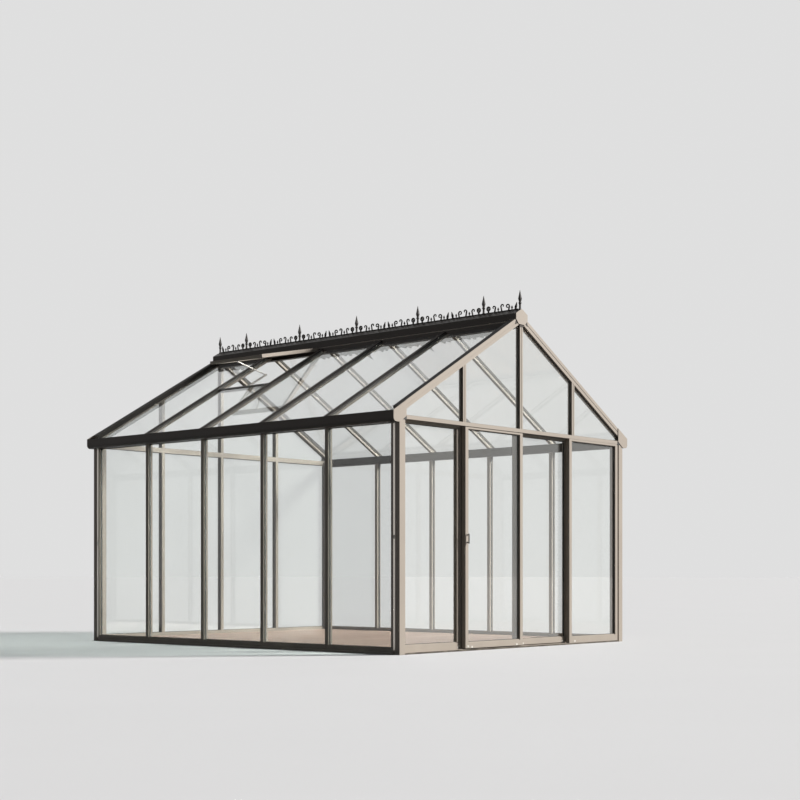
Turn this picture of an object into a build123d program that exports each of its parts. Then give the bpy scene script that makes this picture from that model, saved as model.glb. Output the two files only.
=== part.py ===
from build123d import *
from math import cos, radians, sin, tan
import os

# A free-standing glass garden room: a square grid of glazing bays, a pitched glass roof with one open
# vent, ornamental cresting on the ridge and a pair of sliding doors in the front gable.
# Lengths are in millimetres. X runs across the gables, Y from the front gable to the rear, Z up.

# Grid and overall heights.
bay = 820
gable_bays = 4
side_bays = 5
wall_margin = 33
tie_underside = 1955
eave_drop = 15
roof_pitch = 30.2
roof_rise_at_wall = 50

# Glazing bars, which are the same section in walls and roof.
bar_width = 42
bar_depth = 54
bar_inner_width = 36
bar_groove_width = 8
bar_groove_depth = 2.5
glass_thickness = 4
glass_clearance = 0.3
glass_inset = 24
slot_depth = 12
slot_edge_gap = 2

# Corner posts, which take a side wall on one face and a gable on the other.
corner_width = 64
corner_step_width = 20
corner_step_depth = 12
corner_depth = 97
corner_groove_width = 22
corner_groove_depth = 9
corner_groove_place = 63

# Base, sill and floor.
base_height = 60
base_proud = 4
base_lip_height = 14
sill_height = 10
floor_thickness = 28
floor_gap = 0.3

# Tie beams across the gables.
tie_height = 49
front_tie_height = 33
tie_groove_height = 6
tie_groove_place = 24
tie_groove_depth = 3

# Gutters, with their wall plates.
gutter_reach = 80
gutter_lip_height = 95
gutter_wall = 4
gutter_nose_radius = 34
gutter_bead = 9

# Gable rafters, which stand proud of the roof bars.
rafter_upstand = 24
rafter_depth = 66
rafter_thickness = 66
rafter_groove_width = 7
rafter_groove_depth = 3

# End plates at the eaves and the apex.
plate_thickness = 6
eave_plate_width = 161
eave_plate_shoulder = 9
apex_plate_half_width = 86
apex_plate_height = 138
apex_plate_waist = 42
apex_plate_foot_half_width = 46

# Ridge.
ridge_half_width = 86
ridge_lip = 6
ridge_lip_height = 8
ridge_side = 80
ridge_top_width = 26
ridge_web_half_width = 26
ridge_web_depth = 92

# Roof bars and roof glass at the eaves.
bar_overhang = 30
glass_overhang = 40

# Roof vent, in one bay of the left slope. It stands open on its opener.
bays_before_vent = 3
vent_length = 785
vent_angle = 19
sash_width = 34
sash_depth = 34
sash_side_gap = 4
hinge_radius = 7
hinge_web = 6
crossbar_width = 40
opener_reach = 300
opener_radius = 11
opener_arm_radius = 6
opener_lug_width = 16
opener_lug_height = 12

# Four equal panels close the front gable below its tie beam, in two layers. The left door is in the
# outer layer and slides left before a fixed panel. The right door is in the inner layer and slides
# right behind a fixed panel of the outer layer.
panel_count = 4
layer_inset = 2
panel_depth = 42
layer_gap = 7
stile_width = 45
panel_top_rail = 20
panel_bottom_rail = 56
bead_width = 5
bead_depth = 8
door_clearance = 6
track_width = 8
track_height = 7
roller_radius = 15
roller_width = 10
roller_axle_radius = 4
roller_inset = 90
running_gap = 0.3
guide_thickness = 12
guide_length = 60
guide_channel_width = 24
door_head_height = 12
handle_height_above_ground = 985
handle_length = 90
handle_reach = 26
handle_thickness = 10

# Cresting on the ridge: a frieze panel a bay, symmetric about the spike that stands on its middle.
# Each share is of the way from that spike to the panel's end, and each height is from the ridge.
crest_thickness = 8
crest_rail_height = 14
crest_end_gap = 7
crest_band_width = 13
crest_band_tip = 6
crest_curl_end = 0.3
crest_lean = 11
wheel_share = 0.143
wheel_height = 50
wheel_radius = 24
wheel_hole_radius = 11
wheel_foot_width = 16
hook_share = 0.347
hook_height = 72
hook_radius = 20
hook_turn = 240
bud_shares = [0.425, 0.822]
bud_height = 50
bud_width = 20
curl_share = 0.505
curl_height = 78
curl_radius = 20
curl_turn = 230
snail_share = 0.75
snail_height = 70
snail_radius = 22
snail_turn = 330
tip_leaf_share = 0.92
tip_leaf_height = 76
tip_leaf_width = 26
tip_leaf_lean = 17

# Spikes on the cresting, and thicker footed ones at both ends of the ridge.
spike_height = 182
spike_foot_width = 20
spike_end_foot_width = 26
spike_stem_width = 14
spike_collar_width = 22
spike_collar_place = 62
spike_head_width = 25
spike_head_place = 102
spike_tip_width = 1.5

# What follows from them.
half_width = gable_bays * bay / 2 + wall_margin
outer_length = side_bays * bay + 2 * wall_margin
front_reach = handle_reach - layer_inset
rear_reach = plate_thickness
front_plane = (front_reach - rear_reach - outer_length) / 2
rear_plane = front_plane + outer_length
eave_underside = tie_underside - eave_drop
tie_top = tie_underside + tie_height
front_tie_underside = tie_top - front_tie_height
roof_at_wall = tie_top + roof_rise_at_wall
corner_full_width = corner_width + corner_step_width
front_inner = half_width - corner_full_width
slot_width = glass_thickness + 2 * glass_clearance
slope = tan(radians(roof_pitch))
slope_cos = cos(radians(roof_pitch))
slope_sin = sin(radians(roof_pitch))
front_grid = front_plane + wall_margin
left_roof = Plane(
    origin=(-half_width, 0, roof_at_wall),
    x_dir=(slope_cos, 0, slope_sin),
    z_dir=(-slope_sin, 0, slope_cos),
)
outer_face = layer_inset
inner_face = outer_face + panel_depth + layer_gap
panel_width = (2 * front_inner + (panel_count - 1) * stile_width) / panel_count
panel_pitch = panel_width - stile_width
panel_foot = sill_height + track_height + door_clearance
panel_head = front_tie_underside - door_clearance
crest_half = (bay - crest_end_gap) / 2
side_bars = [front_grid + bay * n for n in range(1, side_bays)]
gable_bars = [bay * (n - gable_bays / 2) for n in range(1, gable_bays)]


def roof_height(x):
    """Height of the roof bars' outer surface at a distance x from the centre line."""
    return roof_at_wall + (half_width - abs(x)) * slope


def below_roof(x, depth):
    """Height at x of the line that lies a square distance below the roof surface."""
    return roof_height(x) - depth / slope_cos


def block(low, high):
    """A box from its lowest corner to its highest."""
    size = [top - bottom for bottom, top in zip(low, high)]
    return Pos(*low) * Box(*size, align=(Align.MIN, Align.MIN, Align.MIN))


def outline(points):
    """A flat face with straight sides."""
    return make_face(Polyline(*points, close=True))


def along_x(section, start, end):
    """A section drawn in Y and Z, run from start to end along X."""
    return extrude(Plane.YZ.offset(start) * section, end - start)


def along_y(section, start, end):
    """A section drawn in X and Z, run from start to end along Y."""
    return extrude(Plane.XZ.offset(-start) * section, start - end)


def upright(section, bottom, top):
    """A section drawn in plan, run from bottom to top."""
    return extrude(Pos(0, 0, bottom) * section, top - bottom)


def both_sides(shape):
    """The shape and its mirror image across the centre line."""
    return [shape, mirror(shape, Plane.YZ)]


def mirrored_points(half):
    """The points of a half outline, followed by their mirror image in the first axis."""
    return half + [(-x, y) for x, y in reversed(half)]


def save(name, shapes):
    """Writes one or more solids as one node."""
    solids = [solid for shape in shapes for solid in shape.solids()]
    export_step(Compound(children=solids), f"parts/{name}.step")


def bar_section():
    """A glazing bar: grooved outer cover, a neck with a glazing slot each side, and an inner box."""
    slot_top = slot_width / 2 - glass_inset
    slot_bottom = slot_top - slot_width
    neck = bar_width / 2 - slot_depth
    half = [
        (bar_groove_width / 2, -bar_groove_depth),
        (bar_groove_width / 2, 0),
        (bar_width / 2, 0),
        (bar_width / 2, slot_top),
        (neck, slot_top),
        (neck, slot_bottom),
        (bar_inner_width / 2, slot_bottom),
        (bar_inner_width / 2, -bar_depth),
    ]
    return outline(mirrored_points(half))


def wall_post_section(side):
    """The glazing bar with its cover facing out of a side wall: -1 is the left wall, 1 the right."""
    return Rot(0, 0, -90 * side) * bar_section()


def pane_edge(bar_centre, towards):
    """Where a pane stops inside the slot of the bar at its edge."""
    return bar_centre + towards * (bar_width / 2 - slot_depth + slot_edge_gap)


def wall_posts(side):
    """The bars of one side wall, from the base to the wall plate."""
    section = wall_post_section(side)
    return [
        upright(Pos(side * half_width, y, 0) * section, base_height, eave_underside) for y in side_bars
    ]


def corner_post(is_front):
    """The corner post of the right wall: a stepped box with a groove and slots for the walls' glass."""
    width = corner_full_width
    box = Pos(half_width - width / 2, corner_depth / 2) * Rectangle(width, corner_depth)
    step = Pos(half_width - width + corner_step_width / 2, corner_step_depth / 2) * Rectangle(
        corner_step_width, corner_step_depth
    )
    groove = Pos(half_width - corner_groove_depth / 2, corner_groove_place) * Rectangle(
        corner_groove_depth, corner_groove_width
    )
    side_slot = Pos(half_width - glass_inset, corner_depth - slot_depth / 2) * Rectangle(
        slot_width, slot_depth
    )
    section = box - step - groove - side_slot
    if is_front:
        return upright(Pos(0, front_plane) * section, 0, front_tie_underside)
    section -= Pos(half_width - width + slot_depth / 2, glass_inset) * Rectangle(slot_depth, slot_width)
    return upright(Pos(0, rear_plane) * mirror(section, Plane.XZ), 0, tie_underside)


def corner_posts():
    """Four corner posts from the ground to the tie beams."""
    return both_sides(corner_post(True)) + both_sides(corner_post(False))


def base_section(height, depth):
    """A base rail seen on end: a box with a lip at its outer foot and a glazing slot on top."""
    slot_side = glass_inset - slot_width / 2
    return outline([
        (-base_proud, 0),
        (depth, 0),
        (depth, height),
        (slot_side + slot_width, height),
        (slot_side + slot_width, height - slot_depth),
        (slot_side, height - slot_depth),
        (slot_side, height),
        (0, height),
        (0, base_lip_height + base_proud),
        (-base_proud, base_lip_height),
    ])


def side_base():
    """The base rail of the right wall, between its corner posts."""
    section = Pos(half_width) * mirror(base_section(base_height, bar_depth), Plane.YZ)
    return along_y(section, front_plane + corner_depth, rear_plane - corner_depth)


def rear_base():
    """The base rail of the rear gable."""
    section = Pos(rear_plane) * mirror(base_section(base_height, bar_depth), Plane.YZ)
    return along_x(section, -front_inner, front_inner)


def track(face, start, end):
    """The rib that the rollers of one layer run on."""
    middle = Pos(front_plane + face + panel_depth / 2, sill_height + track_height / 2)
    return along_x(middle * Rectangle(track_width, track_height), start, end)


def front_sill():
    """The sill under the four panels, with a track in each layer that stops at the fixed panel."""
    section = Pos(front_plane + corner_depth / 2, sill_height / 2) * Rectangle(corner_depth, sill_height)
    sill = along_x(section, -front_inner, front_inner)
    outer_end = panel_edges(panel_count - 1)[0] - door_clearance
    inner_start = panel_edges(0)[1] + door_clearance
    return sill + track(outer_face, -front_inner, outer_end) + track(inner_face, inner_start, front_inner)


def floor():
    """The floor between the base rails, cut out round the rear corner posts."""
    side = half_width - bar_depth - floor_gap
    start = front_plane + corner_depth + floor_gap
    end = rear_plane - bar_depth - floor_gap
    slab = block((-side, start, 0), (side, end, floor_thickness))
    inner = half_width - corner_full_width - floor_gap
    post = block((inner, rear_plane - corner_depth - floor_gap, 0), (half_width, rear_plane, base_height))
    for cut in both_sides(post):
        slab -= cut
    return slab


def front_tie_beam():
    """The front tie beam, which stands on the rails of the door head and carries the gable's glass."""
    middle = (door_head_height + front_tie_height) / 2
    section = Pos(corner_depth / 2, middle) * Rectangle(corner_depth, front_tie_height - door_head_height)
    section -= Pos(glass_inset, front_tie_height - slot_depth / 2) * Rectangle(slot_width, slot_depth)
    return along_x(Pos(front_plane, front_tie_underside) * section, -half_width, half_width)


def door_head_rails():
    """The rails of the door head before, between and behind the channels of the two layers."""
    channels = [face + panel_depth / 2 for face in (outer_face, inner_face)]
    starts = [0] + [middle + guide_channel_width / 2 for middle in channels]
    ends = [middle - guide_channel_width / 2 for middle in channels] + [corner_depth]
    rails = []
    for start, end in zip(starts, ends):
        low = (-half_width, front_plane + start, front_tie_underside)
        rails.append(block(low, (half_width, front_plane + end, front_tie_underside + door_head_height)))
    return rails


def rear_tie_beam():
    """The rear tie beam, with a line along its face and glazing slots in its top and underside."""
    section = Pos(bar_depth / 2, tie_height / 2) * Rectangle(bar_depth, tie_height)
    section -= Pos(tie_groove_depth / 2, tie_groove_place) * Rectangle(tie_groove_depth, tie_groove_height)
    for height in (slot_depth / 2, tie_height - slot_depth / 2):
        section -= Pos(glass_inset, height) * Rectangle(slot_width, slot_depth)
    section = Pos(rear_plane, tie_underside) * mirror(section, Plane.YZ)
    return along_x(section, -half_width, half_width)


def rear_lower_bars():
    """The bars of the rear gable between the base and the tie beam."""
    return [upright(Pos(x, rear_plane) * bar_section(), base_height, tie_underside) for x in gable_bars]


def gable_field(grow):
    """The triangle between the tie beam and the gable rafters, grown by a distance all round."""
    underside = rafter_depth - rafter_upstand
    apex = below_roof(0, underside - grow)
    foot = tie_top - grow
    reach = (apex - foot) / slope
    return outline([(-reach, foot), (reach, foot), (0, apex)])


def upper_bars(is_front):
    """The bars of a gable between the tie beam and the rafters."""
    plane = front_plane if is_front else rear_plane
    turn = Rot(0, 0, 180) if is_front else Rot(0, 0, 0)
    field = along_y(gable_field(0), front_plane, rear_plane)
    below_web = block((-half_width, front_plane, 0), (half_width, rear_plane, ridge_web_bottom()))
    return [
        upright(Pos(x, plane) * turn * bar_section(), tie_top, roof_height(0)) & field & below_web
        for x in gable_bars
    ]


def ridge_web_bottom():
    """Underside of the ridge beam's web."""
    return roof_height(0) - ridge_web_depth


def ridge_beam():
    """The ridge: a web between the roof bars and a deep cap that comes down to the roof glass."""
    over_glass = glass_inset - slot_width / 2
    outer = ridge_half_width + ridge_lip
    side_top = roof_height(ridge_half_width) + ridge_side
    top = side_top + (ridge_half_width - ridge_top_width / 2) * slope
    half = [
        (ridge_web_half_width, ridge_web_bottom()),
        (ridge_web_half_width, below_roof(ridge_web_half_width, over_glass)),
        (outer, below_roof(outer, over_glass)),
        (outer, roof_height(outer) + ridge_lip_height),
        (ridge_half_width, roof_height(ridge_half_width) + ridge_lip_height),
        (ridge_half_width, side_top),
        (ridge_top_width / 2, top),
    ]
    return along_y(outline(mirrored_points(half)), front_plane, rear_plane)


def ridge_top():
    """Height of the flat strip that carries the cresting."""
    return roof_height(ridge_half_width) + ridge_side + (ridge_half_width - ridge_top_width / 2) * slope


def rafter_band(top, bottom):
    """The strip of the right half gable between two heights square to the roof bars' surface."""
    return outline([
        (0, below_roof(0, -top)),
        (half_width, below_roof(half_width, -top)),
        (half_width, below_roof(half_width, -bottom)),
        (0, below_roof(0, -bottom)),
    ])


def gable_rafter():
    """The right front rafter, with a line along its face and slots for the gable's and the roof's glass."""
    lower = rafter_upstand - rafter_depth
    middle = (rafter_upstand + lower) / 2
    back = front_plane + rafter_thickness
    rafter = along_y(rafter_band(rafter_upstand, lower), front_plane, back)
    groove = rafter_band(middle + rafter_groove_width / 2, middle - rafter_groove_width / 2)
    rafter -= along_y(groove, front_plane, front_plane + rafter_groove_depth)
    slot_start = front_plane + glass_inset - slot_width / 2
    rafter -= along_y(rafter_band(lower + slot_depth, lower), slot_start, slot_start + slot_width)
    roof_slot = rafter_band(slot_width / 2 - glass_inset, -slot_width / 2 - glass_inset)
    rafter -= along_y(roof_slot, back - slot_depth, back)
    return rafter - ridge_beam() - front_tie_beam()


def rounded(section, corner, radius):
    """The section with its corner at a point rounded."""
    return fillet(section.vertices().sort_by_distance((*corner, 0))[0], radius)


def gutter():
    """The right gutter: a wall plate that carries the roof bars, and a trough with a rounded nose."""
    lip = half_width + gutter_reach
    lip_top = eave_underside + gutter_lip_height
    inner_lip = lip - gutter_wall
    inner_floor = eave_underside + gutter_wall
    plate_start = half_width - bar_depth
    outer = outline([
        (half_width, eave_underside), (lip, eave_underside), (lip, lip_top), (half_width, lip_top)
    ])
    hollow = outline([
        (half_width, inner_floor), (inner_lip, inner_floor), (inner_lip, lip_top), (half_width, lip_top)
    ])
    trough = rounded(outer, (lip, eave_underside), gutter_nose_radius)
    trough -= rounded(hollow, (inner_lip, inner_floor), gutter_nose_radius - gutter_wall)
    trough += Pos(lip - gutter_bead / 2, lip_top - gutter_bead / 2) * Rectangle(gutter_bead, gutter_bead)
    plate = outline([
        (plate_start, eave_underside),
        (half_width, eave_underside),
        (half_width, below_roof(half_width, bar_depth)),
        (plate_start, below_roof(plate_start, bar_depth)),
    ])
    slot_place = Pos(half_width - glass_inset, eave_underside + slot_depth / 2)
    plate -= slot_place * Rectangle(slot_width, slot_depth)
    carried = along_y(plate, front_plane + corner_depth, rear_plane - bar_depth)
    over_post = block((plate_start, rear_plane - corner_depth, 0), (half_width, rear_plane, tie_underside))
    return along_y(trough, front_plane, rear_plane) + (carried - over_post)


def eave_plate():
    """The plate over the right gutter's front end and the rafter's foot, cut away over the post."""
    lip = half_width + gutter_reach
    inner = lip - eave_plate_width
    section = outline([
        (lip, eave_underside),
        (lip, below_roof(lip, -rafter_upstand)),
        (inner, below_roof(inner, -rafter_upstand)),
        (inner, tie_top - eave_plate_shoulder),
        (half_width, eave_underside),
    ])
    section = rounded(section, (lip, eave_underside), gutter_nose_radius)
    return along_y(section, front_plane - plate_thickness, front_plane)


def front_and_rear(shape):
    """The shape at the front gable and its mirror image at the rear."""
    middle = (front_plane + rear_plane) / 2
    return [shape, mirror(shape, Plane.XZ.offset(-middle))]


def eave_plates():
    """The plates at the four gutter ends."""
    return [plate for side in both_sides(eave_plate()) for plate in front_and_rear(side)]


def apex_plate():
    """The plate over the front end of the ridge, waisted where the rafters meet it."""
    top = ridge_top()
    shoulder = top - (apex_plate_half_width - ridge_top_width / 2) * slope
    foot = top - apex_plate_height
    half = [
        (apex_plate_foot_half_width, foot),
        (apex_plate_half_width, foot + apex_plate_waist),
        (apex_plate_half_width, shoulder),
        (ridge_top_width / 2, top),
    ]
    return along_y(outline(mirrored_points(half)), front_plane - plate_thickness, front_plane)


def roof_bar(y):
    """A bar of the left slope, from its overhang at the eave to the ridge's web."""
    start = Plane(origin=(-bar_overhang, y, 0), x_dir=(0, 1, 0), z_dir=(1, 0, 0))
    bar = left_roof.location * extrude(start * bar_section(), half_width / slope_cos + bar_overhang)
    low = (-half_width - gutter_reach, front_plane, 0)
    beside_web = block(low, (-ridge_web_half_width, rear_plane, ridge_top()))
    return bar & beside_web


def left_roof_bars():
    """The bars of the left slope, cut round the ridge's cap."""
    ridge = ridge_beam()
    return [roof_bar(y) - ridge for y in side_bars]


def roof_pane_top():
    """Where the roof glass ends beside the ridge's web, measured up the slope from the wall."""
    web_gap = ridge_web_half_width + slot_edge_gap
    return (half_width - web_gap - glass_inset * slope_sin) / slope_cos


def slope_block(low, high):
    """A box drawn in the left roof's own frame: up the slope, along Y, and out of the roof."""
    return left_roof.location * block(low, high)


def roof_pane(start, end, bottom, top):
    """A pane of the left slope between two places along Y and two up the slope."""
    return slope_block(
        (bottom, start, -glass_inset - glass_thickness / 2), (top, end, -glass_inset + glass_thickness / 2)
    )


def pane_ends(n, edges, first, last):
    """The two edges of pane n where bars stand at the given places between a first and a last edge."""
    start = first if n == 0 else pane_edge(edges[n - 1], 1)
    end = last if n == len(edges) else pane_edge(edges[n], -1)
    return start, end


def roof_panes(with_vent):
    """The panes of the left slope, with a short one below the vent where there is one."""
    first = front_plane + rafter_thickness - slot_depth + slot_edge_gap
    last = rear_plane - rafter_thickness + slot_depth - slot_edge_gap
    short_top = crossbar_place() - crossbar_width / 2 + slot_depth - slot_edge_gap
    panes = []
    for n in range(side_bays):
        start, end = pane_ends(n, side_bars, first, last)
        is_short = with_vent and n == bays_before_vent
        panes.append(roof_pane(start, end, -glass_overhang, short_top if is_short else roof_pane_top()))
    return panes


def side_panes(side):
    """The panes of one side wall."""
    first = front_plane + corner_depth - slot_depth + slot_edge_gap
    last = rear_plane - corner_depth + slot_depth - slot_edge_gap
    middle = side * (half_width - glass_inset)
    foot = base_height - slot_depth + slot_edge_gap
    head = eave_underside + slot_depth - slot_edge_gap
    panes = []
    for n in range(side_bays):
        start, end = pane_ends(n, side_bars, first, last)
        low = (middle - glass_thickness / 2, start, foot)
        panes.append(block(low, (middle + glass_thickness / 2, end, head)))
    return panes


def rear_lower_panes():
    """The panes of the rear gable below the tie beam."""
    middle = rear_plane - glass_inset
    outer = front_inner + slot_depth - slot_edge_gap
    foot = base_height - slot_depth + slot_edge_gap
    head = tie_underside + slot_depth - slot_edge_gap
    panes = []
    for n in range(gable_bays):
        start, end = pane_ends(n, gable_bars, -outer, outer)
        low = (start, middle - glass_thickness / 2, foot)
        panes.append(block(low, (end, middle + glass_thickness / 2, head)))
    return panes


def upper_panes(is_front):
    """The panes of a gable above its tie beam."""
    middle = front_plane + glass_inset if is_front else rear_plane - glass_inset
    start, end = middle - glass_thickness / 2, middle + glass_thickness / 2
    field = along_y(gable_field(slot_depth - slot_edge_gap), start, end)
    web_gap = ridge_web_half_width + slot_edge_gap
    field -= block((-web_gap, start, ridge_web_bottom() - slot_edge_gap), (web_gap, end, roof_height(0)))
    limit = half_width - glass_inset
    panes = []
    for n in range(gable_bays):
        left, right = pane_ends(n, gable_bars, -limit, limit)
        panes.append(field & block((left, start, tie_underside), (right, end, roof_height(0))))
    return panes


def vent_bars():
    """Where the roof bars beside the vent stand."""
    return side_bars[bays_before_vent - 1], side_bars[bays_before_vent]


def hinge_place():
    """The vent's hinge line on the left slope, beside the ridge's lip."""
    lip = ridge_half_width + ridge_lip
    middle = sum(vent_bars()) / 2
    return Vector(-lip - running_gap - hinge_radius, middle, roof_height(lip))


def crossbar_place():
    """The middle of the vent's crossbar, measured up the slope from the wall."""
    return left_roof.to_local_coords(hinge_place()).X - vent_length


def vent_crossbar():
    """The bar under the vent's free edge, slotted for the pane below it."""
    before, after = vent_bars()
    start, end = before + bar_width / 2, after - bar_width / 2
    low = crossbar_place() - crossbar_width / 2
    top = -sash_depth / 2 - running_gap
    bar = slope_block((low, start, -bar_depth), (low + crossbar_width, end, top))
    slot_low = (low, start, -glass_inset - slot_width / 2)
    return bar - slope_block(slot_low, (low + slot_depth, end, -glass_inset + slot_width / 2))


def sash_plane():
    """The open sash's own frame: X from the hinge to the free edge, Z out of the glass."""
    fall = radians(roof_pitch - vent_angle)
    towards_edge, out = (-cos(fall), 0, -sin(fall)), (-sin(fall), 0, cos(fall))
    return Plane(origin=hinge_place(), x_dir=towards_edge, z_dir=out)


def sash_half_width():
    """Half the sash's width, which clears the roof bars on both sides."""
    return (bay - bar_width) / 2 - sash_side_gap


def sash_field(inset, half_thickness):
    """A box in the sash's frame that stops a distance inside the sash's outer edges."""
    side = sash_half_width() - inset
    near = hinge_radius + sash_side_gap + inset
    far = vent_length + crossbar_width / 2 - inset
    return block((near, -side, -half_thickness), (far, side, half_thickness))


def vent_sash():
    """The vent's frame, hung from a bead that turns beside the ridge's lip."""
    side = sash_half_width()
    frame = sash_field(0, sash_depth / 2) - sash_field(sash_width, sash_depth)
    frame -= sash_field(sash_width - slot_depth, slot_width / 2)
    bead = Rot(90, 0, 0) * Cylinder(hinge_radius, 2 * side)
    reach = hinge_radius + sash_side_gap
    web = block((0, -side, -hinge_web / 2), (reach, side, hinge_web / 2))
    return sash_plane().location * (frame + bead + web)


def vent_pane():
    """The vent's glass."""
    return sash_plane().location * sash_field(sash_width - slot_depth + slot_edge_gap, glass_thickness / 2)


def rod(start, end, radius):
    """A round rod between two points."""
    run = end - start
    return extrude(Plane(origin=start, z_dir=run) * Circle(radius), run.length)


def opener_lug(plane, place, seat):
    """A lug drawn in a plane's own frame from a place on, whose outer face is at a height."""
    half = opener_lug_width / 2
    low = (place, -half, seat - opener_lug_width)
    return plane.location * block(low, (place + opener_lug_height, half, seat))


def vent_opener():
    """The opener: a cylinder from the crossbar up the slope, and an arm back to the sash's free edge."""
    middle = hinge_place().Y
    wall_top = left_roof.from_local_coords((0, middle, 0))
    roof = Plane(origin=wall_top, x_dir=left_roof.x_dir, z_dir=left_roof.z_dir)
    foot = crossbar_place() + crossbar_width / 2
    height = -(bar_depth + sash_depth / 2) / 2
    lug = opener_lug(roof, foot, height + opener_lug_width / 2)
    start = roof.from_local_coords(Vector(foot + opener_lug_height / 2, 0, height))
    elbow = roof.from_local_coords(Vector(foot + opener_reach, 0, height))
    edge = vent_length + crossbar_width / 2 - sash_width
    top_lug = opener_lug(sash_plane(), edge, -sash_depth / 2)
    end = sash_plane().from_local_coords(
        Vector(edge + opener_lug_height / 2, 0, -(sash_depth + opener_lug_width) / 2)
    )
    joint = Pos(*elbow) * Rot(90, 0, 0) * Cylinder(opener_radius, opener_lug_width)
    return lug + rod(start, elbow, opener_radius) + joint + rod(elbow, end, opener_arm_radius) + top_lug


def panel_edges(n):
    """The side edges of panel n of the front gable, counted from the left."""
    start = -front_inner + n * panel_pitch
    return start, start + panel_width


def panel_field(n, face, grow, start, end):
    """The glazed field of a panel, grown by a distance, between two depths behind the layer's face."""
    left, right = panel_edges(n)
    front = front_plane + face
    low = (left + stile_width - grow, front + start, panel_foot + panel_bottom_rail - grow)
    return block(low, (right - stile_width + grow, front + end, panel_head - panel_top_rail + grow))


def panel_frame(n, face, foot, head):
    """A panel's stiles and rails, with a glazing slot and a rebate round the glass on both faces."""
    left, right = panel_edges(n)
    front = front_plane + face
    middle = panel_depth / 2
    frame = block((left, front, foot), (right, front + panel_depth, head))
    frame -= panel_field(n, face, 0, 0, panel_depth)
    frame -= panel_field(n, face, bead_width, 0, bead_depth)
    frame -= panel_field(n, face, bead_width, panel_depth - bead_depth, panel_depth)
    return frame - panel_field(n, face, slot_depth, middle - slot_width / 2, middle + slot_width / 2)


def panel_pane(n, face):
    """A panel's glass."""
    middle = panel_depth / 2
    grow = slot_depth - slot_edge_gap
    return panel_field(n, face, grow, middle - glass_thickness / 2, middle + glass_thickness / 2)


def fixed_panels():
    """The two outermost panels, which stand between the sill and the door head."""
    return [
        panel_frame(0, inner_face, sill_height, front_tie_underside),
        panel_frame(panel_count - 1, outer_face, sill_height, front_tie_underside),
    ]


def roller_places(n):
    """Where a door's rollers stand along X, and the height of their axles."""
    left, right = panel_edges(n)
    height = sill_height + track_height + running_gap + roller_radius
    return [left + roller_inset, right - roller_inset], height


def roller(x, face, height, clearance):
    """A roller on its axle, grown by a clearance."""
    wheel = Cylinder(roller_radius + clearance, roller_width + 2 * clearance)
    axle = Cylinder(roller_axle_radius + clearance, 3 * roller_width)
    return Pos(x, front_plane + face + panel_depth / 2, height) * Rot(90, 0, 0) * (wheel + axle)


def door_frame(n, face):
    """A door's frame, with pockets for its rollers."""
    frame = panel_frame(n, face, panel_foot, panel_head)
    centre = front_plane + face + panel_depth / 2
    places, height = roller_places(n)
    half_pocket = (roller_width + door_clearance) / 2
    reach = roller_radius + door_clearance / 2
    for x in places:
        low = (x - reach, centre - half_pocket, panel_foot)
        frame -= block(low, (x + reach, centre + half_pocket, height + reach))
        frame -= roller(x, face, height, running_gap)
    return frame


def door_guide(x, face):
    """A guide on a door's head, which runs in its layer's channel of the door head."""
    centre = front_plane + face + panel_depth / 2
    top = front_tie_underside + door_head_height - door_clearance
    low = (x - guide_length / 2, centre - guide_thickness / 2, panel_head)
    return block(low, (x + guide_length / 2, centre + guide_thickness / 2, top))


def door_runners(n, face):
    """A door's rollers, which stand on the sill's track, and its guides."""
    places, height = roller_places(n)
    return [roller(x, face, height, 0) for x in places] + [door_guide(x, face) for x in places]


def door_handle(n, face):
    """The pull on a door's left stile: a bow on two feet."""
    front = front_plane + face
    centre = panel_edges(n)[0] + stile_width / 2
    half = handle_thickness / 2
    low = handle_height_above_ground - handle_length / 2
    high = handle_height_above_ground + handle_length / 2
    bow = block((centre - half, front - handle_reach, low), (centre + half, front, high))
    gap_low = (centre - half, front - handle_reach + handle_thickness, low + handle_thickness)
    return bow - block(gap_low, (centre + half, front, high - handle_thickness))


def tapered_band(path, start_width, end_width):
    """A flat band along a path of points, whose width changes evenly from start to end."""
    left, right = [], []
    for i, point in enumerate(path):
        along = path[min(i + 1, len(path) - 1)] - path[max(i - 1, 0)]
        half = (start_width + (end_width - start_width) * i / (len(path) - 1)) / 2
        across = Vector(-along.Y, along.X).normalized() * half
        left.append(point + across)
        right.append(point - across)
    return outline([(point.X, point.Y) for point in left + right[::-1]])


def scroll(share, height, radius, turn, hand):
    """A band that leans up from the rail and curls in on itself, away from the spike where hand is 1."""
    place = share * crest_half
    centre = Vector(place + hand * radius, height - radius)
    steps = round(turn / 32)
    path = [Vector(place + hand * crest_lean, crest_rail_height / 2)]
    for step in range(steps + 1):
        shrunk = radius * (1 - (1 - crest_curl_end) * step / steps)
        angle = radians(180 - turn * step / steps)
        path.append(centre + Vector(hand * shrunk * cos(angle), shrunk * sin(angle)))
    return tapered_band(path, crest_band_width, crest_band_tip)


def wheel():
    """A pierced wheel on a short foot."""
    ring = RegularPolygon(wheel_radius, 12) - RegularPolygon(wheel_hole_radius, 12)
    foot_top = wheel_height - (wheel_radius + wheel_hole_radius) / 2
    foot = Pos(0, foot_top / 2) * Rectangle(wheel_foot_width, foot_top)
    return Pos(wheel_share * crest_half) * (Pos(0, wheel_height) * ring + foot)


def bud(share):
    """A pointed bud on a narrow foot."""
    half = bud_width / 2
    return Pos(share * crest_half) * outline(mirrored_points([
        (half / 3, 0),
        (half / 3, crest_rail_height + half),
        (half, bud_height - bud_width),
        (spike_tip_width / 2, bud_height),
    ]))


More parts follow.
